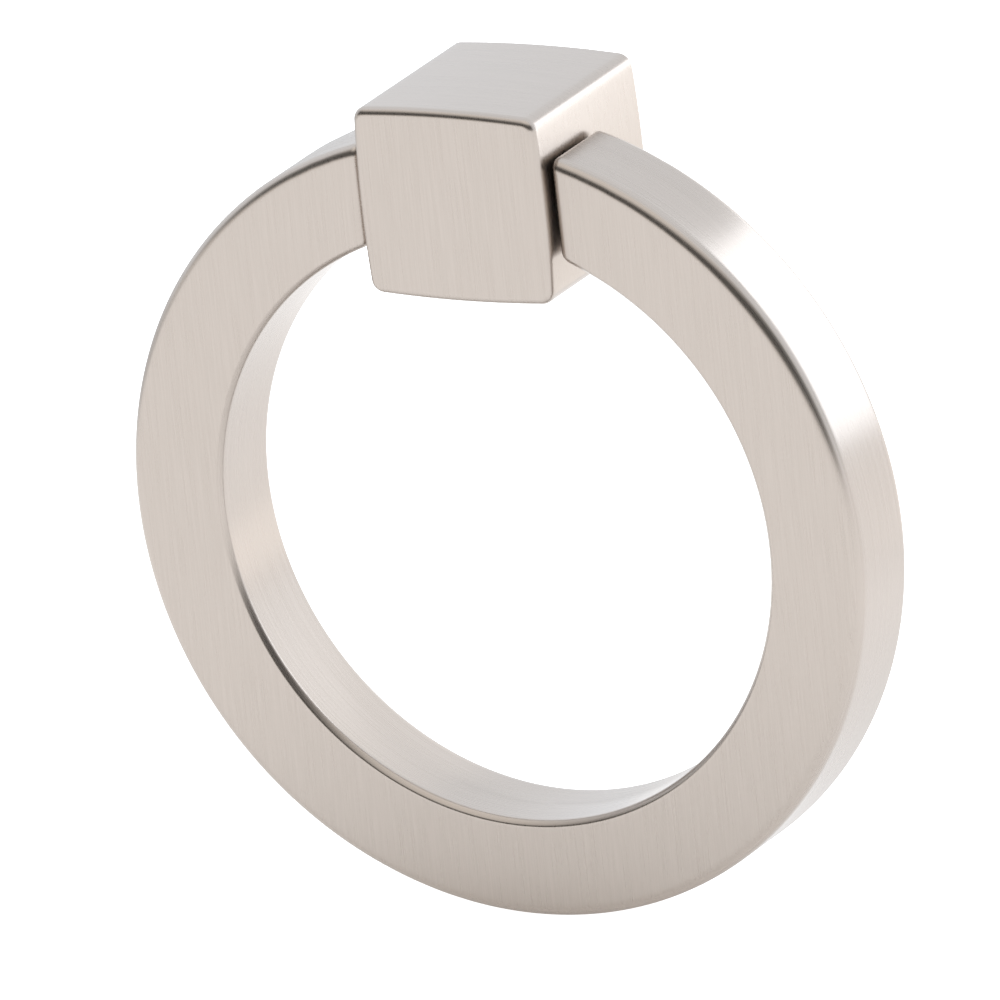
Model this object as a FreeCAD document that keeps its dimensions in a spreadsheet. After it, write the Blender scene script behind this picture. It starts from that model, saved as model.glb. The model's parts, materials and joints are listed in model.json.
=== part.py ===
import FreeCAD, Part
import os
import Sketcher

# Ring pull for a drawer or cupboard door, in millimetres.
# A mounting block with crowned sides carries a cross pin, and a ring of square section hangs on that pin.
# The origin is the mouth of the screw hole in the block's back face. The front looks along -Y and +Z is up.

SIZES = {
    "ring_outer_diameter": 76.2,
    "ring_width": 9.5,
    "ring_thickness": 9.5,
    "ring_outer_rounding": 1.2,
    "ring_inner_rounding": 0.8,
    "ring_back_chamfer": 0.6,
    "ring_end_radius": 0.8,
    "ring_setback": 1.3,
    "ring_side_gap": 0.3,
    "block_width": 19.6,
    "block_height": 18.6,
    "block_depth": 19.5,
    "block_crown": 0.35,
    "block_corner_radius": 1.3,
    "block_front_radius": 0.8,
    "block_back_chamfer": 0.3,
    "pin_diameter": 4.0,
    "pin_seat_clearance": 0.01,
    "pin_running_clearance": 0.05,
    "pin_hole_depth": 4.0,
    "pin_end_clearance": 0.3,
    "pin_chamfer": 0.3,
    "screw_hole_diameter": 3.45,
    "screw_hole_floor": 2.44,
    "screw_drill_angle": 118,
}

# Formulas that several pieces share.
RING_RADIUS = "Sizes.ring_outer_diameter / 2"
END_PLANE = "(Sizes.block_width / 2 + Sizes.ring_side_gap)"
MEAN_RADIUS = f"({RING_RADIUS} - Sizes.ring_width / 2)"
RING_DROP = f"sqrt({MEAN_RADIUS}^2 - {END_PLANE}^2)"
PIVOT_DEPTH = "(Sizes.block_depth - Sizes.ring_setback - Sizes.ring_thickness / 2)"
CORNER_SPAN_X = "(Sizes.block_width - 2 * Sizes.block_crown)"
CORNER_SPAN_Z = "(Sizes.block_height - 2 * Sizes.block_crown)"

ACROSS_AXIS, UP_AXIS = range(-1, -3, -1)
ORIGIN = ACROSS_AXIS
START, END, CENTRE = range(1, 4)
EDGE_SIZE = {"Fillet": "Radius", "Chamfer": "Size"}
NEAR = 1e-4


def make_sheet(doc):
    """Write the driving dimensions into a spreadsheet, one alias for each."""
    sheet = doc.addObject("Spreadsheet::Sheet", "Sizes")
    for row, (alias, value) in enumerate(SIZES.items(), start=1):
        sheet.set(f"A{row}", alias)
        sheet.set(f"B{row}", str(value))
        sheet.setAlias(f"B{row}", alias)
    doc.recompute()


def value_of(doc, formula):
    """Work out a formula from the sheet's present values."""
    return float(doc.Sizes.evalExpression(formula.replace("Sizes.", "")))


def make_body(doc, name):
    body = doc.addObject("PartDesign::Body", name)
    body.Label = name
    return body


def origin_feature(body, role):
    return next(feature for feature in body.Origin.OriginFeatures if feature.Role == role)


def make_sketch(body, name, plane_role):
    sketch = body.newObject("Sketcher::SketchObject", name)
    sketch.AttachmentSupport = [(origin_feature(body, plane_role), "")]
    sketch.MapMode = "FlatFace"
    return sketch


def bind(sketch, formula, kind, *where):
    """Add a dimension to a sketch, at the formula's present value, and tie it to the sheet."""
    start_value = value_of(sketch.Document, formula)
    index = sketch.addConstraint(Sketcher.Constraint(kind, *where, start_value))
    sketch.setExpression(f"Constraints[{index}]", formula)


def edge_names(feature, test):
    return [f"Edge{number}" for number, edge in enumerate(feature.Shape.Edges, start=1) if test(edge)]


def lies_across(edge, axis, place):
    """Tell whether an edge lies in the plane where the given coordinate has the given value."""
    points = edge.discretize(5)
    return all(abs(point[axis] - place) < NEAR for point in points)


def finish_edges(body, kind, name, base, test, size_alias):
    """Round or chamfer the edges that pass the test, by a size from the sheet."""
    finish = body.newObject(f"PartDesign::{kind}", name)
    finish.Base = (base, edge_names(base, test))
    finish.setExpression(EDGE_SIZE[kind], f"Sizes.{size_alias}")
    body.Document.recompute()
    return finish


def require_cut(feature, base):
    """A cut that points away from the solid removes nothing, so compare the volumes."""
    if not feature.Shape.Volume < base.Shape.Volume:
        raise RuntimeError(f"{feature.Name} removed nothing")


def circle_sketch(body, name, plane_role, diameter_formula, centre=(0, 0)):
    """Sketch one circle near the given centre, with its diameter tied to the sheet."""
    sketch = make_sketch(body, name, plane_role)
    radius = value_of(body.Document, diameter_formula) / 2
    sketch.addGeometry(Part.Circle(FreeCAD.Vector(*centre, 0), FreeCAD.Vector(0, 0, 1), radius))
    bind(sketch, diameter_formula, "Diameter", 0)
    return sketch


def centred_circle_sketch(body, name, plane_role, diameter_formula):
    sketch = circle_sketch(body, name, plane_role, diameter_formula)
    sketch.addConstraint(Sketcher.Constraint("Coincident", 0, CENTRE, ORIGIN, START))
    return sketch


def rectangle_sketch(body, name, plane_role, low, high):
    """Sketch an upright rectangle, with its corners placed near the given ones, and return it unsized."""
    sketch = make_sketch(body, name, plane_role)
    corners = [
        FreeCAD.Vector(low[0], low[1], 0),
        FreeCAD.Vector(high[0], low[1], 0),
        FreeCAD.Vector(high[0], high[1], 0),
        FreeCAD.Vector(low[0], high[1], 0),
    ]
    for side in range(4):
        sketch.addGeometry(Part.LineSegment(corners[side], corners[(side + 1) % 4]))
    for side in range(4):
        sketch.addConstraint(Sketcher.Constraint("Coincident", side, END, (side + 1) % 4, START))
    sketch.addConstraint(Sketcher.Constraint("Symmetric", 0, START, 0, END, UP_AXIS))
    sketch.addConstraint(Sketcher.Constraint("Vertical", 1))
    sketch.addConstraint(Sketcher.Constraint("Horizontal", 2))
    sketch.addConstraint(Sketcher.Constraint("Vertical", 3))
    return sketch


def crowned_profile(body):
    """Sketch the block's outline: four shallow arcs that meet at the corners of a rectangle."""
    doc = body.Document
    half_x = value_of(doc, CORNER_SPAN_X) / 2
    half_z = value_of(doc, CORNER_SPAN_Z) / 2
    crown = SIZES["block_crown"]
    sketch = make_sketch(body, "BlockProfile", "XZ_Plane")
    corners = [
        FreeCAD.Vector(half_x, -half_z, 0),
        FreeCAD.Vector(half_x, half_z, 0),
        FreeCAD.Vector(-half_x, half_z, 0),
        FreeCAD.Vector(-half_x, -half_z, 0),
    ]
    crests = [
        FreeCAD.Vector(half_x + crown, 0, 0),
        FreeCAD.Vector(0, half_z + crown, 0),
        FreeCAD.Vector(-half_x - crown, 0, 0),
        FreeCAD.Vector(0, -half_z - crown, 0),
    ]
    for side in range(4):
        sketch.addGeometry(Part.Arc(corners[side], crests[side], corners[(side + 1) % 4]))
    for side in range(4):
        sketch.addConstraint(Sketcher.Constraint("Coincident", side, END, (side + 1) % 4, START))
    sketch.addConstraint(Sketcher.Constraint("Symmetric", 0, START, 0, END, ACROSS_AXIS))
    sketch.addConstraint(Sketcher.Constraint("Symmetric", 1, START, 1, END, UP_AXIS))
    sketch.addConstraint(Sketcher.Constraint("Symmetric", 3, START, 3, END, UP_AXIS))
    bind(sketch, CORNER_SPAN_X, "DistanceX", 2, START, 0, END)
    bind(sketch, CORNER_SPAN_Z, "DistanceY", 0, START, 0, END)
    for side, span in enumerate((CORNER_SPAN_Z, CORNER_SPAN_X, CORNER_SPAN_Z, CORNER_SPAN_X)):
        radius = f"(({span} / 2)^2 + Sizes.block_crown^2) / (2 * Sizes.block_crown)"
        bind(sketch, radius, "Radius", side)
    return sketch


def make_block(doc):
    """The cast block: a crowned square bar, rounded all over, tapped from behind and bored for the pin."""
    body = make_body(doc, "mount_block")
    pad = body.newObject("PartDesign::Pad", "BlockBar")
    pad.Profile = crowned_profile(body)
    pad.setExpression("Length", "Sizes.block_depth")
    doc.recompute()

    depth = SIZES["block_depth"]

    def runs_front_to_back(edge):
        return edge.BoundBox.XLength < NEAR and edge.BoundBox.ZLength < NEAR

    def bounds_the_front(edge):
        return lies_across(edge, 1, -depth)

    def bounds_the_back(edge):
        return lies_across(edge, 1, 0)

    corners = finish_edges(body, "Fillet", "BlockCorners", pad, runs_front_to_back, "block_corner_radius")
    front = finish_edges(body, "Fillet", "BlockFrontEdge", corners, bounds_the_front, "block_front_radius")
    back = finish_edges(body, "Chamfer", "BlockBackEdge", front, bounds_the_back, "block_back_chamfer")

    bore_diameter = "Sizes.pin_diameter + 2 * Sizes.pin_seat_clearance"
    pivot = (-value_of(doc, PIVOT_DEPTH), 0)
    bore_sketch = circle_sketch(body, "PinBoreCircle", "YZ_Plane", bore_diameter, pivot)
    bore_sketch.addConstraint(Sketcher.Constraint("PointOnObject", 0, CENTRE, ACROSS_AXIS))
    bind(bore_sketch, PIVOT_DEPTH, "DistanceX", 0, CENTRE, ORIGIN, START)
    bore = body.newObject("PartDesign::Pocket", "PinBore")
    bore.Profile = bore_sketch
    bore.SideType = "Symmetric"
    bore.setExpression("Length", "2 * Sizes.block_width")
    doc.recompute()
    require_cut(bore, back)

    hole_sketch = centred_circle_sketch(body, "ScrewHoleCircle", "XZ_Plane", "Sizes.screw_hole_diameter")
    doc.recompute()
    hole = body.newObject("PartDesign::Hole", "ScrewHole")
    hole.Profile = hole_sketch
    hole.Reversed = True
    hole.DepthType = "Dimension"
    hole.DrillPoint = "Angled"
    hole.setExpression("Diameter", "Sizes.screw_hole_diameter")
    hole.setExpression("DrillPointAngle", "Sizes.screw_drill_angle")
    hole.setExpression(
        "Depth",
        f"{PIVOT_DEPTH} - Sizes.pin_diameter / 2 - Sizes.pin_seat_clearance - Sizes.screw_hole_floor",
    )
    doc.recompute()
    require_cut(hole, bore)
    return body


def make_ring(doc):
    """The ring: a revolved square section, opened at the top to straddle the block, with blind pin holes."""
    body = make_body(doc, "pull_ring")
    body.setExpression("Placement.Base.y", f"-{PIVOT_DEPTH}")
    body.setExpression("Placement.Base.z", f"-{RING_DROP}")

    half_thickness = SIZES["ring_thickness"] / 2
    outer = SIZES["ring_outer_diameter"] / 2
    inner = outer - SIZES["ring_width"]
    front_inner = (-half_thickness, inner)
    back_outer = (half_thickness, outer)
    section = rectangle_sketch(body, "RingSection", "YZ_Plane", front_inner, back_outer)
    bind(section, "Sizes.ring_thickness", "DistanceX", 0, START, 0, END)
    bind(section, "Sizes.ring_width", "DistanceY", 1, START, 1, END)
    bind(section, RING_RADIUS, "DistanceY", ORIGIN, START, 2, START)
    turn = body.newObject("PartDesign::Revolution", "RingTurn")
    turn.Profile = section
    turn.ReferenceAxis = (origin_feature(body, "Y_Axis"), [""])
    turn.Angle = 360
    doc.recompute()

    def is_front_outer(edge):
        return lies_across(edge, 1, -half_thickness) and abs(edge.Curve.Radius - outer) < NEAR

    def is_front_inner(edge):
        return lies_across(edge, 1, -half_thickness) and abs(edge.Curve.Radius - inner) < NEAR

    def is_back(edge):
        return lies_across(edge, 1, half_thickness)

    outside = finish_edges(body, "Fillet", "RingOuterEdge", turn, is_front_outer, "ring_outer_rounding")
    inside = finish_edges(body, "Fillet", "RingInnerEdge", outside, is_front_inner, "ring_inner_rounding")
    rims = finish_edges(body, "Chamfer", "RingBackEdges", inside, is_back, "ring_back_chamfer")

    end_plane = value_of(doc, END_PLANE)
    slot_low = (-end_plane, 0)
    slot_high = (end_plane, 2 * outer)
    slot_sketch = rectangle_sketch(body, "BlockSlotOutline", "XZ_Plane", slot_low, slot_high)
    slot_sketch.addConstraint(Sketcher.Constraint("PointOnObject", 0, START, ACROSS_AXIS))
    bind(slot_sketch, f"2 * {END_PLANE}", "DistanceX", 0, START, 0, END)
    bind(slot_sketch, "Sizes.ring_outer_diameter", "DistanceY", 1, START, 1, END)
    slot = body.newObject("PartDesign::Pocket", "BlockSlot")
    slot.Profile = slot_sketch
    slot.SideType = "Symmetric"
    slot.setExpression("Length", "2 * Sizes.ring_thickness")
    doc.recompute()
    require_cut(slot, rims)

    def bounds_an_end(edge):
        return lies_across(edge, 0, end_plane) or lies_across(edge, 0, -end_plane)

    ends = finish_edges(body, "Fillet", "RingEnds", slot, bounds_an_end, "ring_end_radius")

    hole_diameter = "Sizes.pin_diameter + 2 * Sizes.pin_running_clearance"
    pivot = (0, value_of(doc, RING_DROP))
    hole_sketch = circle_sketch(body, "PinHoleCircle", "YZ_Plane", hole_diameter, pivot)
    hole_sketch.addConstraint(Sketcher.Constraint("PointOnObject", 0, CENTRE, UP_AXIS))
    bind(hole_sketch, RING_DROP, "DistanceY", ORIGIN, START, 0, CENTRE)
    holes = body.newObject("PartDesign::Pocket", "PinHoles")
    holes.Profile = hole_sketch
    holes.SideType = "Symmetric"
    holes.setExpression("Length", f"2 * ({END_PLANE} + Sizes.pin_hole_depth)")
    doc.recompute()
    require_cut(holes, ends)
    return body


def make_pin(doc):
    """The steel cross pin, held in the block, with both ends in the ring's blind holes."""
    body = make_body(doc, "pivot_pin")
    body.setExpression("Placement.Base.y", f"-{PIVOT_DEPTH}")
    pad = body.newObject("PartDesign::Pad", "PinBar")
    pad.Profile = centred_circle_sketch(body, "PinCircle", "YZ_Plane", "Sizes.pin_diameter")
    pad.SideType = "Symmetric"
    pad.setExpression("Length", f"2 * ({END_PLANE} + Sizes.pin_hole_depth - Sizes.pin_end_clearance)")
    doc.recompute()

    def bounds_an_end(edge):
        return isinstance(edge.Curve, Part.Circle)

    finish_edges(body, "Chamfer", "PinEnds", pad, bounds_an_end, "pin_chamfer")
    return body


def check_document(doc, bodies):
    for item in doc.Objects:
        if "Invalid" in item.State or "Error" in item.State:
            raise RuntimeError(f"{item.Name} failed: {item.State}")
    for body in bodies:
        if body.Shape.isNull() or not body.Shape.isValid() or len(body.Shape.Solids) != 1:
            raise RuntimeError(f"{body.Label} is not one sound solid")


def main():
    doc = FreeCAD.newDocument("ring_pull")
    make_sheet(doc)
    bodies = [make_block(doc), make_ring(doc), make_pin(doc)]
    doc.recompute()
    check_document(doc, bodies)
    os.makedirs("parts", exist_ok=True)
    for body in bodies:
        body.Shape.exportStep(f"parts/{body.Label}.step")
        print(body.Label, round(body.Shape.Volume, 2), body.Shape.BoundBox)


main()
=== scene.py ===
import json
import math

import bmesh
import bpy
from mathutils import Matrix, Vector


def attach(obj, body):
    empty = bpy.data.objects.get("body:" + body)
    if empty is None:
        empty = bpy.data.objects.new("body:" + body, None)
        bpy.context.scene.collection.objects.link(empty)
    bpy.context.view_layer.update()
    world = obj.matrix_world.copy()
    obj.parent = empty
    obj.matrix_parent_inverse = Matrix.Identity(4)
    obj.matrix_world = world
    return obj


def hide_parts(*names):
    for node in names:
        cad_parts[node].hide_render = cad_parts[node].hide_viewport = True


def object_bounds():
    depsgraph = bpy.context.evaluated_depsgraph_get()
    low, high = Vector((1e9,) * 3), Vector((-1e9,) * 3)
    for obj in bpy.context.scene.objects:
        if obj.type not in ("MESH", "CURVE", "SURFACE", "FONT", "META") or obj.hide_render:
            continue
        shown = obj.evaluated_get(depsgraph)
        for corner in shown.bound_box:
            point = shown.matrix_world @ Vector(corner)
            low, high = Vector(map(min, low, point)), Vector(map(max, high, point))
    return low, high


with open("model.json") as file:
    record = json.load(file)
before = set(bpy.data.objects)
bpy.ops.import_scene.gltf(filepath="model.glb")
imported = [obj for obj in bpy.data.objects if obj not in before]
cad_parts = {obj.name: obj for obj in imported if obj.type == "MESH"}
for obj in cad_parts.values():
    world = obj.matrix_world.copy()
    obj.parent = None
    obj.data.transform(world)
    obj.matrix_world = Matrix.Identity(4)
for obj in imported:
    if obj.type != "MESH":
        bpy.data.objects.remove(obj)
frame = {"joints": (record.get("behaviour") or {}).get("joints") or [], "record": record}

bl_info = {
    "name": "Ring Pull",
    "version": (1, 0, 0),
    "blender": (4, 5, 0),
    "location": "View3D > Sidebar > Ring Pull",
    "description": "Models a satin nickel ring pull: mounting block, swinging ring and cross pin",
    "category": "Object",
}

# All lengths are metres, in the frame's own axes: -Y is the front, +X the right and +Z up.
CAD_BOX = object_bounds()
PIVOT = Vector(frame["joints"][0]["pos_m"])
SCREW_HOLE = next(mount for mount in frame["record"]["mounts"] if mount["name"] == "screw_hole")
MM = 0.001
ACROSS = Vector((1, 0, 0))
DEPTH = Vector((0, 1, 0))
UP = Vector((0, 0, 1))

# Meshes
MERGE = 1e-7
SHARP_ANGLE = math.radians(32)
SUPPORT = 0.25 * MM
EDGE_SEGMENTS = 10
END_SEGMENTS = 5
EASING_SEGMENTS = 3
CROWN_SEGMENTS = 16
HOLE_SEGMENTS = 64
THREAD_ROWS = 10
# Each half of the ring is swept this far from its bottom, and a few more rows lead on to its flat end.
PLAIN_SWEEP = math.radians(152)
END_ROWS = 3
DRILL_HALF_ANGLE = math.radians(59)
BORE_PATCH_SHARE = 1.3
FLAT_SHARE = 0.8

# Brush lines: how many there are to the metre across them, and to the metre or radian along them
FACE_FINE = (9000, 150)
FACE_BROAD = (2200, 30)
RIM_FINE = (8000, 2)
RIM_BROAD = (2000, 0.7)
PIN_FINE = (5000, 40)
PIN_BROAD = (700, 20)
FINE_DETAIL = 3.0
BROAD_DETAIL = 2.0
NOISE_RANGE = (0.3, 0.7)
FINE_SHARE = 0.8
GLOSS_SPREAD = 0.06
BRUSH_DEPTH = 0.01 * MM

# Camera and studio: a pair is where a smooth change starts and where it ends
IMAGE_SIDE = 1000
SENSOR_WIDTH = 36.0
CAMERA_REACH = 100.0
FLOOR_SEGMENTS = 96
FLOOR_GREY = (0.85, 0.85, 0.85, 1)
WHITE = (1, 1, 1, 1)
COOL_WHITE = (0.94, 1.0, 1.07, 1)
WARM_WHITE = (1.0, 0.99, 0.97, 1)
SOFTBOX_WHITE = (0.90, 1.0, 1.12)
LOW_CARD_WHITE = (1.0, 0.95, 0.87)
# Painted contact shadow round the ring's foot: full within the second distance from the middle, gone beyond
# the first
FOOT_SHADOW_EDGE = (0.11, 0.02)
FAR_LEFT_EDGE = (0.15, 0.35)
FRONT_EDGE = (0.15, -0.25)
FRONT_FLARE = 0.16
CANOPY_TILT = 0.15
CANOPY_LOW_EDGE = (0.02, 0.24)
CANOPY_HIGH_EDGE = (0.90, 0.52)


def length(label, description, default):
    return bpy.props.FloatProperty(
        name=label,
        description=description,
        default=default,
        min=0,
        precision=5,
        subtype="DISTANCE",
        unit="LENGTH",
    )


def count(label, description, default):
    return bpy.props.IntProperty(name=label, description=description, default=default, min=1)


def tone(label, description, default):
    return bpy.props.FloatVectorProperty(
        name=label, description=description, default=default, size=3, min=0, max=1, subtype="COLOR"
    )


def share(label, description, default):
    return bpy.props.FloatProperty(
        name=label, description=description, default=default, min=0, max=1, subtype="FACTOR"
    )


def brightness(label, description, default):
    return bpy.props.FloatProperty(name=label, description=description, default=default, min=0)


def spot(label, description, default):
    return bpy.props.FloatVectorProperty(
        name=label,
        description=description,
        default=default,
        size=3,
        precision=5,
        subtype="XYZ",
        unit="LENGTH",
    )


def turn(label, description, default):
    return bpy.props.FloatProperty(
        name=label, description=description, default=math.radians(default), subtype="ANGLE", unit="ROTATION"
    )


class RingSizes(bpy.types.PropertyGroup):
    """Sizes of the swinging ring."""

    outer_radius: length("Outer radius", "Radius of the ring's outer surface", 38.1 * MM)
    width: length("Width", "Width of the section, from the inner to the outer surface", 9.5 * MM)
    thickness: length("Thickness", "Thickness of the section, front to back", 9.5 * MM)
    outer_rounding: length("Outer rounding", "Radius of the front outer edge", 1.2 * MM)
    inner_chamfer: length("Inner chamfer", "Width of the chamfer on the front inner edge", 0.48 * MM)
    inner_easing: length("Inner easing", "Rounding of the corners beside the front chamfer", 0.12 * MM)
    inner_rounding: length("Inner rounding", "Radius of the front inner edge at each flat end", 0.9 * MM)
    back_chamfer: length("Back chamfer", "Width of the chamfers on the two back edges", 0.6 * MM)
    back_easing: length("Back easing", "Rounding of the corners beside each back chamfer", 0.28 * MM)
    end_plane: length("End plane", "Distance from the middle to each flat end", 10.1 * MM)
    end_rounding: length("End rounding", "Rounding of each end's rim", 0.8 * MM)
    pin_hole_radius: length("Pin hole radius", "Radius of the blind hole in each end", 2.05 * MM)
    pin_hole_depth: length("Pin hole depth", "Depth of the blind hole in each end", 4.0 * MM)
    steps: count("Steps", "Segments of the half ring", 300)


class BlockSizes(bpy.types.PropertyGroup):
    """Sizes of the mounting block."""

    half_width: length("Half width", "From the middle to the crest of the side", 9.8 * MM)
    half_height: length("Half height", "From the middle to the crest of the top", 9.3 * MM)
    depth: length("Depth", "From the back face to the front face", 19.5 * MM)
    crown: length("Crown", "Rise of each side between its corners", 0.35 * MM)
    corner_rounding: length("Corner rounding", "Radius of the four edges that run front to back", 1.3 * MM)
    front_rounding: length("Front rounding", "Radius of the front edge", 0.8 * MM)
    back_chamfer: length("Back chamfer", "Width of the chamfer on the back edge", 0.3 * MM)
    bore_radius: length("Bore radius", "Radius of the pin's bore", 2.01 * MM)
    thread_pitch: length("Thread pitch", "Pitch of the screw thread", 0.794 * MM)
    thread_depth: length("Thread depth", "Depth of the thread's grooves", 0.36 * MM)


class PinSizes(bpy.types.PropertyGroup):
    """Sizes of the cross pin."""

    radius: length("Radius", "Radius of the pin", 2.0 * MM)
    half_length: length("Half length", "From the middle to each end", 13.8 * MM)
    chamfer: length("Chamfer", "Width of the chamfer at each end", 0.3 * MM)


class FinishColours(bpy.types.PropertyGroup):
    """Colours and gloss of the satin nickel and the ground steel."""

    nickel_light: tone("Nickel light", "Lighter brush lines of the nickel", (0.470, 0.414, 0.371))
    nickel_dark: tone("Nickel dark", "Darker brush lines of the nickel", (0.420, 0.369, 0.328))
    steel_light: tone("Steel light", "Lighter grinding lines of the steel", (0.58, 0.57, 0.56))
    steel_dark: tone("Steel dark", "Darker grinding lines of the steel", (0.44, 0.43, 0.42))
    face_roughness: share("Face roughness", "Roughness of the flat brushed faces", 0.29)
    rim_roughness: share("Rim roughness", "Roughness of the ring's curved surfaces", 0.28)
    face_grain: share("Face grain", "How far the upright brushing stretches the gloss", 0.5)
    rim_grain: share("Rim grain", "How far the brushing round the ring stretches the gloss", 0.4)
    brush_strength: share("Brush strength", "How far the brush lines tilt the surface", 0.10)


class SoftboxSettings(bpy.types.PropertyGroup):
    """The small softbox close behind the ring's right shoulder."""

    middle: spot("Middle", "Middle of the softbox", (70.8 * MM, 60 * MM, 11 * MM))
    aim: spot("Aim", "Point that the softbox faces", (31 * MM, -12 * MM, -10 * MM))
    width: length("Width", "Width of the softbox", 34 * MM)
    height: length("Height", "Height of the softbox", 78 * MM)
    roll: turn("Roll", "Turn of the softbox about the line that it faces along", -32)
    level: brightness("Level", "Brightness of the softbox", 2.0)


class LowCardSettings(bpy.types.PropertyGroup):
    """The wide card low behind on the right."""

    middle: spot("Middle", "Middle of the card", (16 * MM, 106 * MM, 1 * MM))
    aim: spot("Aim", "Point that the card faces", (-26 * MM, 16 * MM, 29 * MM))
    width: length("Width", "Width of the card", 140 * MM)
    height: length("Height", "Height of the card", 130 * MM)
    roll: turn("Roll", "Turn of the card about the line that it faces along", 0)
    level: brightness("Level", "Brightness of the card", 0.33)


class StageSettings(bpy.types.PropertyGroup):
    """Camera, floor and light."""

    azimuth: turn("Azimuth", "Turn of the camera to the right of the front", 30.53)
    elevation: turn("Elevation", "Height of the camera above the horizon", 18.80)
    roll: turn("Roll", "Turn of the camera about its own line of sight", -6.28)
    distance: length("Distance", "From the aim point to the camera", 2769.96 * MM)
    aim: spot("Aim", "Point that the camera looks at", (-4.972 * MM, -8.0 * MM, -32.872 * MM))
    pixel_focal: bpy.props.FloatProperty(
        name="Focal length", description="Focal length in pixels of the square image", default=30000, min=1
    )
    floor_radius: length("Floor radius", "Radius of the floor", 6000 * MM)
    floor_gap: length("Floor gap", "From the ring's lowest point down to the floor", 0.2 * MM)
    floor_glow: brightness("Floor glow", "Light that the floor gives off by itself", 0.63)
    # Strength of a painted contact shadow: the floor's glow in mirror images is dimmed round the ring's
    # foot
    foot_shadow_dimming: share("Foot dimming", "How far the floor's mirror image dims at the ring's foot", 0.30)
    far_dimming: share("Far dimming", "How far the floor's mirror image dims at the far left", 0.9)
    sky_level: brightness("Sky level", "Brightness of the studio's white walls", 1.32)
    canopy_level: brightness("Canopy level", "Brightness of the dark band above the camera", 0.10)
    softbox: bpy.props.PointerProperty(type=SoftboxSettings)
    low_card: bpy.props.PointerProperty(type=LowCardSettings)


class Shade:
    """A socket of a node tree. Arithmetic on it adds Math nodes, and add() brings in any other node."""

    def __init__(self, tree, socket=None):
        self.tree = tree
        self.socket = socket

    def add(self, kind, settings=None, inputs=None, output=0):
        """Add a node: its settings first, then the values or links of its sockets."""
        node = self.tree.nodes.new(kind)
        for name, value in (settings or {}).items():
            setattr(node, name, value)
        for name, value in (inputs or {}).items():
            if isinstance(value, Shade):
                self.tree.links.new(value.socket, node.inputs[name])
            else:
                node.inputs[name].default_value = value
        return Shade(self.tree, node.outputs[output] if node.outputs else None)

    def math(self, operation, *values):
        return self.add("ShaderNodeMath", {"operation": operation}, dict(enumerate(values)))

    def vector(self, across, deep, up):
        return self.add("ShaderNodeCombineXYZ", inputs={"X": across, "Y": deep, "Z": up})

    def __add__(self, other):
        return self.math("ADD", self, other)

    def __radd__(self, other):
        return self.math("ADD", other, self)

    def __sub__(self, other):
        return self.math("SUBTRACT", self, other)

    def __rsub__(self, other):
        return self.math("SUBTRACT", other, self)

    def __mul__(self, other):
        return self.math("MULTIPLY", self, other)

    def __rmul__(self, other):
        return self.math("MULTIPLY", other, self)


def coordinates(shade, kind):
    """The three coordinates of a kind: Object for a surface point, Generated for a world's direction."""
    vector = shade.add("ShaderNodeTexCoord", output=kind)
    return [shade.add("ShaderNodeSeparateXYZ", inputs={"Vector": vector}, output=axis) for axis in "XYZ"]


def streaks(shade, vector, detail):
    """Noise between 0 and 1, spread out to use its whole range."""
    low, high = NOISE_RANGE
    noise = shade.add("ShaderNodeTexNoise", inputs={"Vector": vector, "Scale": 1.0, "Detail": detail})
    return shade.add("ShaderNodeMapRange", inputs={"Value": noise, "From Min": low, "From Max": high})


def new_material(name):
    material = bpy.data.materials.new(name)
    material.use_nodes = True
    material.node_tree.nodes.clear()
    return material, Shade(material.node_tree)


def brushed_metal(name, light, dark, roughness, strength, brush_lines, grain=0.0):
    """Metal whose brush lines shift its colour, gloss and surface a little. Made once, then shared."""
    if name in bpy.data.materials:
        return bpy.data.materials[name]
    material, shade = new_material(name)
    fine, broad = brush_lines(shade)
    mix = FINE_SHARE * fine + (1 - FINE_SHARE) * broad
    colour = shade.add(
        "ShaderNodeMix",
        {"data_type": "RGBA"},
        {"Factor": mix, "A": (*dark, 1), "B": (*light, 1)},
        output="Result",
    )
    bump = shade.add(
        "ShaderNodeBump", inputs={"Height": fine, "Strength": strength, "Distance": BRUSH_DEPTH}
    )
    surface = shade.add(
        "ShaderNodeBsdfPrincipled",
        inputs={
            "Base Color": colour,
            "Metallic": 1.0,
            "Roughness": roughness - GLOSS_SPREAD / 2 + GLOSS_SPREAD * mix,
            "Anisotropic": grain,
            "Normal": bump,
        },
    )
    shade.add("ShaderNodeOutputMaterial", inputs={"Surface": surface})
    return material


def upright_lines(shade):
    """Brush lines that run up and down, across every face that stands upright."""
    across, deep, up = coordinates(shade, "Object")

    def lines(dense, sparse, detail):
        return streaks(shade, shade.vector(across * dense, deep * dense, up * sparse), detail)

    return lines(*FACE_FINE, FINE_DETAIL), lines(*FACE_BROAD, BROAD_DETAIL)


def crosswise_lines(shade):
    """Brush lines that run from left to right, for the block's top and underside."""
    across, deep, up = coordinates(shade, "Object")

    def lines(dense, sparse, detail):
        return streaks(shade, shade.vector(across * sparse, deep * dense, up * sparse), detail)

    return lines(*FACE_FINE, FINE_DETAIL), lines(*FACE_BROAD, BROAD_DETAIL)


def ring_drop(ring):
    """How far the ring's centre hangs below the pin, which sits in the middle of the section's end."""
    mean_radius = ring.outer_radius - ring.width / 2
    return math.sqrt(mean_radius**2 - ring.end_plane**2)


def round_lines(drop):
    """Brush lines that run round the ring, for a ring whose centre lies a drop below the origin."""

    def brush_lines(shade):
        across, deep, up = coordinates(shade, "Object")
        # The angle is counted from the bottom, so its seam falls in the opening.
        angle = shade.math("ARCTAN2", across, 0 - (up + drop))
        radius = shade.math("SQRT", across * across + (up + drop) * (up + drop))

        def lines(dense, sparse, detail):
            return streaks(shade, shade.vector(angle * sparse, deep * dense, radius * dense), detail)

        return lines(*RIM_FINE, FINE_DETAIL), lines(*RIM_BROAD, BROAD_DETAIL)

    return brush_lines


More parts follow.
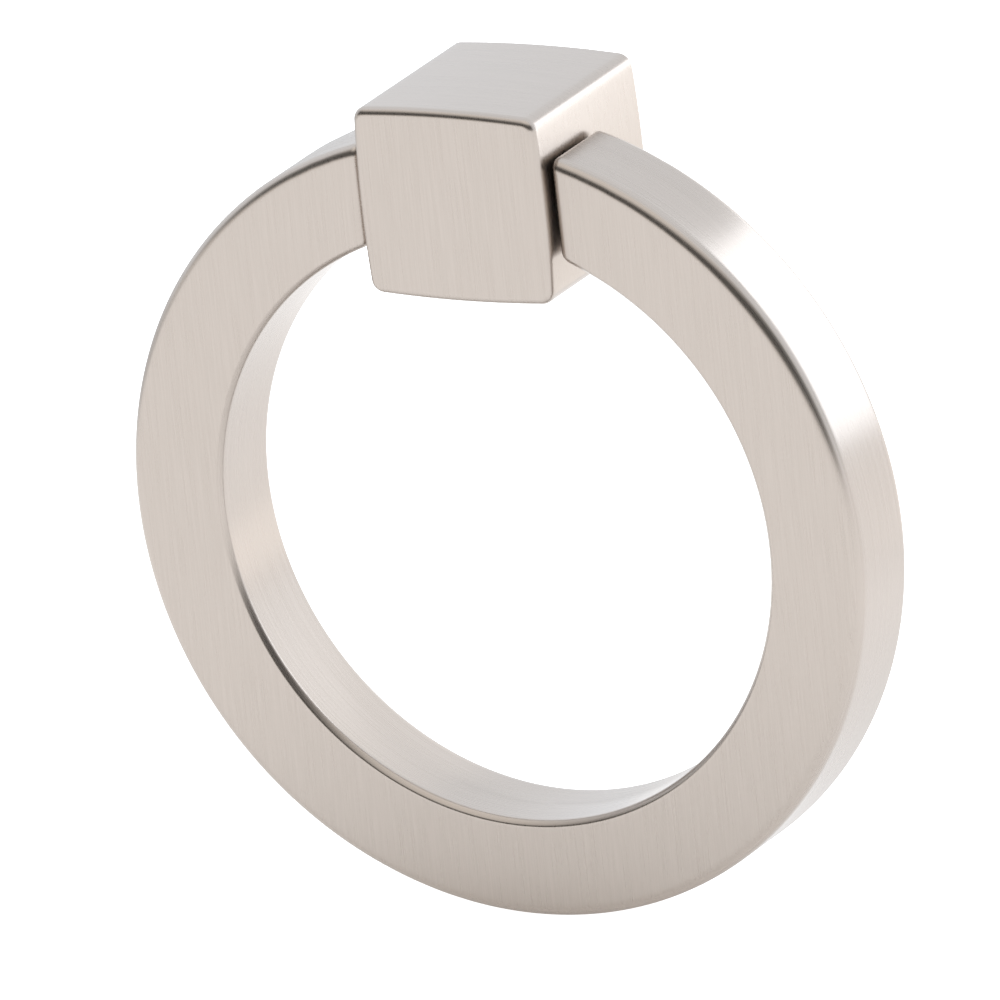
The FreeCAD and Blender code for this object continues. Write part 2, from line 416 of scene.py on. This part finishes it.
def pin_lines(shade):
    """Grinding lines that run round the pin, which lies left to right."""
    across, deep, up = coordinates(shade, "Object")

    def lines(dense, sparse, detail):
        return streaks(shade, shade.vector(across * dense, deep * sparse, up * sparse), detail)

    return lines(*PIN_FINE, FINE_DETAIL), lines(*PIN_BROAD, BROAD_DETAIL)


def upright_nickel(colours):
    return brushed_metal(
        "nickel_brushed_upright",
        colours.nickel_light,
        colours.nickel_dark,
        colours.face_roughness,
        colours.brush_strength,
        upright_lines,
        colours.face_grain,
    )


def crosswise_nickel(colours):
    return brushed_metal(
        "nickel_brushed_crosswise",
        colours.nickel_light,
        colours.nickel_dark,
        colours.face_roughness,
        colours.brush_strength,
        crosswise_lines,
    )


def round_nickel(colours, drop):
    return brushed_metal(
        "nickel_brushed_round",
        colours.nickel_light,
        colours.nickel_dark,
        colours.rim_roughness,
        colours.brush_strength,
        round_lines(drop),
        colours.rim_grain,
    )


def pin_steel(colours):
    return brushed_metal(
        "ground_steel",
        colours.steel_light,
        colours.steel_dark,
        colours.rim_roughness,
        colours.brush_strength,
        pin_lines,
    )


def spin_point(mesh, point, centre, angle, steps):
    """Draw an arc in the XZ plane from a point, turning from +X to +Z, and return its far end."""
    swept = bmesh.ops.spin(mesh, geom=[point], cent=centre, axis=DEPTH, angle=-angle, steps=steps)
    return points_in(swept["geom_last"])[0]


def round_corner(mesh, corner, radius, segments):
    bmesh.ops.bevel(
        mesh,
        geom=[corner],
        offset=radius,
        offset_type="OFFSET",
        affect="VERTICES",
        segments=segments,
        profile=0.5,
        material=-1,
    )


def round_edges(mesh, edges, radius, segments):
    bmesh.ops.bevel(
        mesh,
        geom=edges,
        offset=radius,
        offset_type="OFFSET",
        affect="EDGES",
        segments=segments,
        profile=0.5,
        material=-1,
    )


def support_edge(mesh, edge):
    """Add a point near each end of a straight edge, so that the roundings beside it don't tilt the flat."""
    ends = [point.co.copy() for point in edge.verts]
    split = bmesh.ops.bisect_edges(mesh, edges=[edge], cuts=2)
    for point in points_in(split["geom_split"]):
        near, far = sorted(ends, key=lambda end: (end - point.co).length)
        point.co = near + (far - near).normalized() * SUPPORT


def points_in(items):
    return [item for item in items if isinstance(item, bmesh.types.BMVert)]


def everything(mesh):
    return mesh.verts[:] + mesh.edges[:] + mesh.faces[:]


def mirror(mesh, axis):
    """Add the mirror image of everything and merge it along the middle."""
    bmesh.ops.mirror(
        mesh, geom=everything(mesh), matrix=Matrix.Identity(4), merge_dist=MERGE, axis=axis
    )


def region(faces):
    """Faces with their edges and points, as the cutting operator takes them."""
    points = dict.fromkeys(point for face in faces for point in face.verts)
    edges = dict.fromkeys(edge for face in faces for edge in face.edges)
    return [*points, *edges, *faces]


def lies_at(item, axis, place):
    return all(abs(point.co[axis] - place) < MERGE for point in item.verts)


def edges_at(mesh, axis, place):
    return [edge for edge in mesh.edges if lies_at(edge, axis, place)]


def widest_face_at(mesh, axis, place):
    faces = [face for face in mesh.faces if lies_at(face, axis, place)]
    return max(faces, key=lambda face: face.calc_area())


def open_flat(mesh, axis, place):
    """Take out a flat face, leaving a narrow border of it, and return the edges of the opening."""
    face = widest_face_at(mesh, axis, place)
    bmesh.ops.inset_region(mesh, faces=[face], thickness=SUPPORT, use_even_offset=False)
    face = widest_face_at(mesh, axis, place)
    edges = face.edges[:]
    bmesh.ops.delete(mesh, geom=[face], context="FACES_ONLY")
    return edges


def circle_edges(mesh, radius, segments, placing):
    made = bmesh.ops.create_circle(mesh, cap_ends=False, segments=segments, radius=radius, matrix=placing)
    return list(dict.fromkeys(edge for point in made["verts"] for edge in point.link_edges))


def extrude_loop(mesh, edges):
    """Grow a wall from a loop of edges and return the new loop's points and edges."""
    points = points_in(bmesh.ops.extrude_edge_only(mesh, edges=edges)["geom"])
    chosen = set(points)
    linked = dict.fromkeys(edge for point in points for edge in point.link_edges)
    return points, [edge for edge in linked if chosen.issuperset(edge.verts)]


def ring_section(mesh, ring, centre):
    """Draw the ring's section at its bottom: a round front outer edge and eased chamfers on the others."""
    front = PIVOT.y - ring.thickness / 2
    back = PIVOT.y + ring.thickness / 2
    outer = centre.z - ring.outer_radius
    inner = outer + ring.width
    outline = ((front, inner), (front, outer), (back, outer), (back, inner))
    front_inner, front_outer, back_outer, back_inner = [mesh.verts.new((0, *place)) for place in outline]
    mesh.faces.new((front_inner, front_outer, back_outer, back_inner))
    round_corner(mesh, front_inner, ring.inner_chamfer, 1)
    middle = (inner + outer) / 2
    for corner in [point for point in mesh.verts if point.co.y < PIVOT.y and point.co.z > middle]:
        round_corner(mesh, corner, ring.inner_easing, EASING_SEGMENTS)
    round_corner(mesh, front_outer, ring.outer_rounding, EDGE_SEGMENTS)
    round_corner(mesh, back_outer, ring.back_chamfer, 1)
    round_corner(mesh, back_inner, ring.back_chamfer, 1)
    for corner in [point for point in mesh.verts if point.co.y > PIVOT.y]:
        round_corner(mesh, corner, ring.back_easing, EASING_SEGMENTS)
    bmesh.ops.delete(mesh, geom=mesh.faces[:], context="FACES_ONLY")
    for edge in [edge for edge in mesh.edges if edge.calc_length() > ring.width / 2]:
        support_edge(mesh, edge)


def toward_rounding(ring, deep, radius, part):
    """Move a point of the chamfer part of the way to the rounding that replaces it at the flat end."""
    front = PIVOT.y - ring.thickness / 2
    inner = ring.outer_radius - ring.width
    offset = Vector((deep - front - ring.inner_rounding, radius - inner - ring.inner_rounding))
    if max(offset) >= 0:
        return deep, radius
    offset *= part * (ring.inner_rounding / offset.length - 1)
    return deep + offset.x, radius + offset.y


def ring_end(mesh, ring, centre):
    """Lead the half ring on to its flat end, round the end's rim and sink the pin's blind hole."""
    rim = [edge for edge in mesh.edges if edge.is_boundary and edge.verts[0].co.z > centre.z]
    for row in range(1, END_ROWS + 1):
        points, rim = extrude_loop(mesh, rim)
        for point in points:
            radius = math.hypot(point.co.x, point.co.z - centre.z)
            point.co.y, radius = toward_rounding(ring, point.co.y, radius, 1 / (END_ROWS + 1 - row))
            last = math.pi - math.asin(ring.end_plane / radius)
            angle = PLAIN_SWEEP + (last - PLAIN_SWEEP) * row / END_ROWS
            point.co.x = radius * math.sin(angle)
            point.co.z = centre.z - radius * math.cos(angle)
    bmesh.ops.contextual_create(mesh, geom=rim)
    bmesh.ops.recalc_face_normals(mesh, faces=mesh.faces[:])
    round_edges(mesh, rim, ring.end_rounding, END_SEGMENTS)
    opening = open_flat(mesh, 0, ring.end_plane)
    mouth = Vector((ring.end_plane, PIVOT.y, PIVOT.z))
    placing = Matrix.Translation(mouth) @ Matrix.Rotation(math.radians(90), 4, "Y")
    hole = circle_edges(mesh, ring.pin_hole_radius, HOLE_SEGMENTS, placing)
    bmesh.ops.triangle_fill(mesh, edges=opening + hole, use_beauty=True, normal=ACROSS)
    points, floor = extrude_loop(mesh, hole)
    bmesh.ops.translate(mesh, verts=points, vec=ACROSS * ring.pin_hole_depth)
    bmesh.ops.contextual_create(mesh, geom=floor)


def ring_mesh(ring):
    centre = PIVOT - Vector((0, 0, ring_drop(ring)))
    mesh = bmesh.new()
    ring_section(mesh, ring, centre)
    bmesh.ops.spin(
        mesh, geom=everything(mesh), cent=centre, axis=DEPTH, angle=-PLAIN_SWEEP, steps=ring.steps
    )
    ring_end(mesh, ring, centre)
    mirror(mesh, "X")
    return mesh


def crown_radius(half_chord, crown):
    return (half_chord**2 + crown**2) / (2 * crown)


def circles_meet(first, first_radius, second, second_radius):
    """The meeting point of two circles in the XZ plane that lies to the right and above."""
    line = second - first
    along = (first_radius**2 - second_radius**2 + line.length_squared) / (2 * line.length)
    aside = math.sqrt(first_radius**2 - along**2)
    line.normalize()
    return first + line * along + Vector((-line.z, 0, line.x)) * aside


def block_outline(mesh, block):
    """Draw the block's crowned outline on its front plane: a quarter in three arcs, then mirrored."""
    front = Vector((0, -block.depth, 0))
    side_radius = crown_radius(block.half_height - block.crown, block.crown)
    top_radius = crown_radius(block.half_width - block.crown, block.crown)
    side_centre = front + Vector((block.half_width - side_radius, 0, 0))
    top_centre = front + Vector((0, 0, block.half_height - top_radius))
    rounding = block.corner_rounding
    corner_centre = circles_meet(side_centre, side_radius - rounding, top_centre, top_radius - rounding)
    side_line = corner_centre - side_centre
    top_line = corner_centre - top_centre
    side_turn = math.atan2(side_line.z, side_line.x)
    top_turn = math.atan2(top_line.x, top_line.z)
    corner_turn = math.pi / 2 - side_turn - top_turn
    point = mesh.verts.new(front + Vector((block.half_width, 0, 0)))
    point = spin_point(mesh, point, side_centre, side_turn, CROWN_SEGMENTS)
    point = spin_point(mesh, point, corner_centre, corner_turn, EDGE_SEGMENTS)
    spin_point(mesh, point, top_centre, top_turn, CROWN_SEGMENTS)
    for axis in "XZ":
        mirror(mesh, axis)


def thread_rise(block, place, angle):
    """How far the thread's groove reaches outwards at a place and angle. It fades out at both ends."""
    hole_depth = SCREW_HOLE["dims"]["length_mm"] * MM
    phase = (place / block.thread_pitch + angle / math.tau) % 1.0
    groove = 1.0 - abs(2.0 * phase - 1.0)
    room = min(-place, hole_depth + place) / block.thread_pitch
    return block.thread_depth * groove * min(1.0, max(0.0, 2.0 * room))


def tapped_hole(mesh, block):
    """Sink the screw hole into the back face, with its thread and the drill's point."""
    radius = SCREW_HOLE["dims"]["r_mm"] * MM
    depth = SCREW_HOLE["dims"]["length_mm"] * MM
    opening = open_flat(mesh, 1, 0)
    placing = Matrix.Rotation(math.radians(90), 4, "X")
    loop = circle_edges(mesh, radius, HOLE_SEGMENTS, placing)
    bmesh.ops.triangle_fill(mesh, edges=opening + loop, use_beauty=True, normal=DEPTH)
    rows = round(depth / block.thread_pitch * THREAD_ROWS)
    for row in range(1, rows + 1):
        points, loop = extrude_loop(mesh, loop)
        place = -depth * row / rows
        for point in points:
            angle = math.atan2(point.co.z, point.co.x)
            reach = radius + thread_rise(block, place, angle)
            point.co = (reach * math.cos(angle), place, reach * math.sin(angle))
    tip = Vector((0, -depth - radius / math.tan(DRILL_HALF_ANGLE), 0))
    points, _ = extrude_loop(mesh, loop)
    bmesh.ops.pointmerge(mesh, verts=points, merge_co=tip)


def cut_across(mesh, geom, axis, place):
    """Add a line of edges where a plane at right angles to an axis crosses the mesh."""
    bmesh.ops.bisect_plane(mesh, geom=geom, dist=MERGE, plane_co=axis * place, plane_no=axis)


def side_faces(mesh, block):
    least = block.half_width - block.crown / 2
    return [face for face in mesh.faces if abs(face.calc_center_median().x) > least]


def pin_bore(mesh, block):
    """Bore the block from side to side for the pin."""
    half_patch = block.bore_radius * BORE_PATCH_SHARE
    for axis, middle in ((DEPTH, PIVOT.y), (UP, PIVOT.z)):
        for place in (middle - half_patch, middle + half_patch):
            cut_across(mesh, region(side_faces(mesh, block)), axis, place)
    patch = []
    for face in side_faces(mesh, block):
        offset = face.calc_center_median() - PIVOT
        if abs(offset.y) < half_patch and abs(offset.z) < half_patch:
            patch.append(face)
    bmesh.ops.delete(mesh, geom=patch, context="FACES")
    side_radius = crown_radius(block.half_height - block.crown, block.crown)
    bore = []
    for side in (-1, 1):
        opening = [edge for edge in mesh.edges if edge.is_boundary and edge.verts[0].co.x * side > 0]
        placing = Matrix.Translation(PIVOT) @ Matrix.Rotation(math.radians(90), 4, "Y")
        mouth = circle_edges(mesh, block.bore_radius, HOLE_SEGMENTS, placing)
        for point in {point for edge in mouth for point in edge.verts}:
            fall = side_radius - math.sqrt(side_radius**2 - point.co.z**2)
            point.co.x = side * (block.half_width - fall)
        bmesh.ops.triangle_fill(mesh, edges=opening + mouth, use_beauty=True, normal=ACROSS)
        bore += mouth
    bmesh.ops.bridge_loops(mesh, edges=bore)


def block_mesh(block):
    mesh = bmesh.new()
    block_outline(mesh, block)
    bmesh.ops.contextual_create(mesh, geom=mesh.edges[:])
    grown = bmesh.ops.extrude_face_region(mesh, geom=mesh.faces[:])
    bmesh.ops.translate(mesh, verts=points_in(grown["geom"]), vec=DEPTH * block.depth)
    bmesh.ops.recalc_face_normals(mesh, faces=mesh.faces[:])
    round_edges(mesh, edges_at(mesh, 1, -block.depth), block.front_rounding, EDGE_SEGMENTS)
    round_edges(mesh, edges_at(mesh, 1, 0), block.back_chamfer, 1)
    front = widest_face_at(mesh, 1, -block.depth)
    bmesh.ops.inset_region(mesh, faces=[front], thickness=SUPPORT, use_even_offset=False)
    for place in (block.front_rounding + SUPPORT - block.depth, -block.back_chamfer - SUPPORT):
        cut_across(mesh, everything(mesh), DEPTH, place)
    pin_bore(mesh, block)
    tapped_hole(mesh, block)
    return mesh


def pin_mesh(pin):
    mesh = bmesh.new()
    placing = Matrix.Translation(PIVOT) @ Matrix.Rotation(math.radians(90), 4, "Y")
    bmesh.ops.create_cone(
        mesh,
        cap_ends=True,
        segments=HOLE_SEGMENTS,
        radius1=pin.radius,
        radius2=pin.radius,
        depth=2 * pin.half_length,
        matrix=placing,
    )
    rims = edges_at(mesh, 0, pin.half_length) + edges_at(mesh, 0, -pin.half_length)
    round_edges(mesh, rims, pin.chamfer, 1)
    return mesh


def finish_piece(name, mesh, materials, choose, body, node):
    """Turn a bmesh into a finished object that rides on a body and stands for a node."""
    bmesh.ops.remove_doubles(mesh, verts=mesh.verts, dist=MERGE)
    bmesh.ops.recalc_face_normals(mesh, faces=mesh.faces)
    open_edges = [edge for edge in mesh.edges if not edge.is_manifold]
    if open_edges:
        raise RuntimeError(f"{name} has {len(open_edges)} open edges")
    for face in mesh.faces:
        face.smooth = True
        face.material_index = choose(face)
    data = bpy.data.meshes.new(name)
    mesh.to_mesh(data)
    mesh.free()
    data.set_sharp_from_angle(angle=SHARP_ANGLE)
    for material in materials:
        data.materials.append(material)
    piece = bpy.data.objects.new(name, data)
    bpy.context.scene.collection.objects.link(piece)
    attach(piece, body)
    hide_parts(node)


class RINGPULL_OT_block(bpy.types.Operator):
    """Model the mounting block, with its pin bore and tapped screw hole"""

    bl_idname = "ringpull.block"
    bl_label = "Mounting Block"

    def execute(self, context):
        settings = context.scene.ring_pull
        materials = (upright_nickel(settings.colours), crosswise_nickel(settings.colours))

        def choose(face):
            return int(abs(face.normal.z) > FLAT_SHARE)

        mesh = block_mesh(settings.block)
        finish_piece("block_body", mesh, materials, choose, "fixed_block", "mount_block")
        return {"FINISHED"}


class RINGPULL_OT_ring(bpy.types.Operator):
    """Model the swinging ring, with its flat ends and blind pin holes"""

    bl_idname = "ringpull.ring"
    bl_label = "Swinging Ring"

    def execute(self, context):
        settings = context.scene.ring_pull
        drop = ring_drop(settings.ring) - PIVOT.z
        materials = (round_nickel(settings.colours, drop), upright_nickel(settings.colours))

        def choose(face):
            return int(abs(face.normal.y) > FLAT_SHARE)

        mesh = ring_mesh(settings.ring)
        finish_piece("ring_body", mesh, materials, choose, "swinging_ring", "pull_ring")
        return {"FINISHED"}


class RINGPULL_OT_pin(bpy.types.Operator):
    """Model the cross pin"""

    bl_idname = "ringpull.pin"
    bl_label = "Cross Pin"

    def execute(self, context):
        settings = context.scene.ring_pull
        mesh = pin_mesh(settings.pin)
        materials = (pin_steel(settings.colours),)
        finish_piece("pin_body", mesh, materials, lambda face: 0, "fixed_block", "pivot_pin")
        return {"FINISHED"}


def place_camera(stage):
    """Put the camera where the photograph was taken from."""
    reach = math.cos(stage.elevation)
    back = Vector(
        (math.sin(stage.azimuth) * reach, -math.cos(stage.azimuth) * reach, math.sin(stage.elevation))
    )
    right = UP.cross(back).normalized()
    basis = Matrix((right, back.cross(right), back)).transposed()
    data = bpy.data.cameras.new("camera")
    data.sensor_width = SENSOR_WIDTH
    data.lens = stage.pixel_focal / IMAGE_SIDE * SENSOR_WIDTH
    data.clip_end = CAMERA_REACH
    camera = bpy.data.objects.new("camera", data)
    place = Matrix.Translation(Vector(stage.aim) + back * stage.distance)
    camera.matrix_world = place @ basis.to_4x4() @ Matrix.Rotation(stage.roll, 4, "Z")
    bpy.context.scene.collection.objects.link(camera)
    bpy.context.scene.camera = camera


def rise(shade, value, start, end):
    """A smooth step from 0 to 1 as a value goes from start to end."""
    return shade.add(
        "ShaderNodeMapRange",
        {"interpolation_type": "SMOOTHSTEP"},
        {"Value": value, "From Min": start, "From Max": end},
    )


def floor_glow(shade, stage):
    """Plain white to the camera, less in mirror images, and less still far left and at the ring's foot,
    where a painted contact shadow shows only in mirror images.
    """
    across, deep, _ = coordinates(shade, "Object")
    seen = shade.add("ShaderNodeLightPath", output="Is Camera Ray")
    # Painted contact shadow round the ring's foot, which only mirror images show
    foot = rise(shade, shade.math("SQRT", across * across + deep * deep), *FOOT_SHADOW_EDGE)
    far_left = rise(shade, deep - across, *FAR_LEFT_EDGE)
    dimming = shade.math("MAXIMUM", stage.far_dimming * far_left, stage.foot_shadow_dimming * foot)
    return seen + (1 - seen) * stage.floor_glow * (1 - dimming)


def lay_floor(stage):
    """A plain pale floor, open to a view from below."""
    mesh = bmesh.new()
    placing = Matrix.Translation((0, 0, CAD_BOX[0][2] - stage.floor_gap))
    bmesh.ops.create_circle(
        mesh, cap_ends=True, segments=FLOOR_SEGMENTS, radius=stage.floor_radius, matrix=placing
    )
    data = bpy.data.meshes.new("floor")
    mesh.to_mesh(data)
    mesh.free()
    material, shade = new_material("pale_floor")
    matt = shade.add("ShaderNodeBsdfDiffuse", inputs={"Color": FLOOR_GREY})
    strength = floor_glow(shade, stage)
    glow = shade.add("ShaderNodeEmission", inputs={"Color": WHITE, "Strength": strength})
    lit = shade.add("ShaderNodeAddShader", inputs={0: matt, 1: glow})
    clear = shade.add("ShaderNodeBsdfTransparent")
    under = shade.add("ShaderNodeNewGeometry", output="Backfacing")
    surface = shade.add("ShaderNodeMixShader", inputs={0: under, 1: lit, 2: clear})
    shade.add("ShaderNodeOutputMaterial", inputs={"Surface": surface})
    data.materials.append(material)
    floor = bpy.data.objects.new("floor", data)
    bpy.context.scene.collection.objects.link(floor)


def paint_world(stage):
    """White walls, cooler behind than in front. The dark canopy above the front isn't seen itself."""
    world = bpy.data.worlds.new("studio")
    world.use_nodes = True
    world.node_tree.nodes.clear()
    shade = Shade(world.node_tree)
    across, deep, up = coordinates(shade, "Generated")
    sideways = shade.math("ABSOLUTE", across)
    front = rise(shade, deep + FRONT_FLARE * sideways, *FRONT_EDGE)
    to_right = shade.math("MAXIMUM", across, 0.0)
    lower = rise(shade, up + CANOPY_TILT * to_right, *CANOPY_LOW_EDGE)
    upper = rise(shade, up, *CANOPY_HIGH_EDGE)
    canopy = front * lower * upper
    seen = shade.add("ShaderNodeLightPath", output="Is Camera Ray")
    strength = stage.sky_level - (stage.sky_level - stage.canopy_level) * canopy * (1 - seen)
    colour = shade.add(
        "ShaderNodeMix",
        {"data_type": "RGBA"},
        {"Factor": front, "A": COOL_WHITE, "B": WARM_WHITE},
        output="Result",
    )
    light = shade.add("ShaderNodeBackground", inputs={"Color": colour, "Strength": strength})
    shade.add("ShaderNodeOutputWorld", inputs={"Surface": light})
    bpy.context.scene.world = world
    bpy.context.scene.view_settings.view_transform = "Standard"


def hang_card(name, card, colour):
    """A soft rectangular light that lights and is mirrored, but isn't seen itself."""
    data = bpy.data.lights.new(name, "AREA")
    data.shape = "RECTANGLE"
    data.color = colour
    data.size = card.width
    data.size_y = card.height
    data.energy = card.level * math.pi * card.width * card.height
    light = bpy.data.objects.new(name, data)
    middle = Vector(card.middle)
    facing = (Vector(card.aim) - middle).to_track_quat("-Z", "Y")
    light.matrix_world = Matrix.LocRotScale(middle, facing, None) @ Matrix.Rotation(card.roll, 4, "Z")
    light.visible_camera = False
    bpy.context.scene.collection.objects.link(light)


class RINGPULL_OT_stage(bpy.types.Operator):
    """Set up the floor, the studio light and the camera"""

    bl_idname = "ringpull.stage"
    bl_label = "Stage"

    def execute(self, context):
        stage = context.scene.ring_pull.stage
        lay_floor(stage)
        paint_world(stage)
        hang_card("softbox", stage.softbox, SOFTBOX_WHITE)
        hang_card("low_card", stage.low_card, LOW_CARD_WHITE)
        place_camera(stage)
        return {"FINISHED"}


class RingPullSettings(bpy.types.PropertyGroup):
    """All settings of the ring pull."""

    ring: bpy.props.PointerProperty(type=RingSizes)
    block: bpy.props.PointerProperty(type=BlockSizes)
    pin: bpy.props.PointerProperty(type=PinSizes)
    colours: bpy.props.PointerProperty(type=FinishColours)
    stage: bpy.props.PointerProperty(type=StageSettings)


OPERATORS = (RINGPULL_OT_block, RINGPULL_OT_ring, RINGPULL_OT_pin, RINGPULL_OT_stage)


class RINGPULL_PT_pieces(bpy.types.Panel):
    """Lists the operators that build the ring pull"""

    bl_idname = "RINGPULL_PT_pieces"
    bl_label = "Ring Pull"
    bl_space_type = "VIEW_3D"
    bl_region_type = "UI"
    bl_category = "Ring Pull"

    def draw(self, context):
        for operator in OPERATORS:
            self.layout.operator(operator.bl_idname)


STAGE_GROUPS = (SoftboxSettings, LowCardSettings, StageSettings)
GROUPS = (RingSizes, BlockSizes, PinSizes, FinishColours, *STAGE_GROUPS, RingPullSettings)
CLASSES = (*GROUPS, *OPERATORS, RINGPULL_PT_pieces)


def register():
    for cls in CLASSES:
        bpy.utils.register_class(cls)
    bpy.types.Scene.ring_pull = bpy.props.PointerProperty(type=RingPullSettings)


def unregister():
    del bpy.types.Scene.ring_pull
    for cls in reversed(CLASSES):
        bpy.utils.unregister_class(cls)


def main():
    register()
    bpy.ops.ringpull.block()
    bpy.ops.ringpull.ring()
    bpy.ops.ringpull.pin()
    bpy.ops.ringpull.stage()


if __name__ == "__main__":
    main()
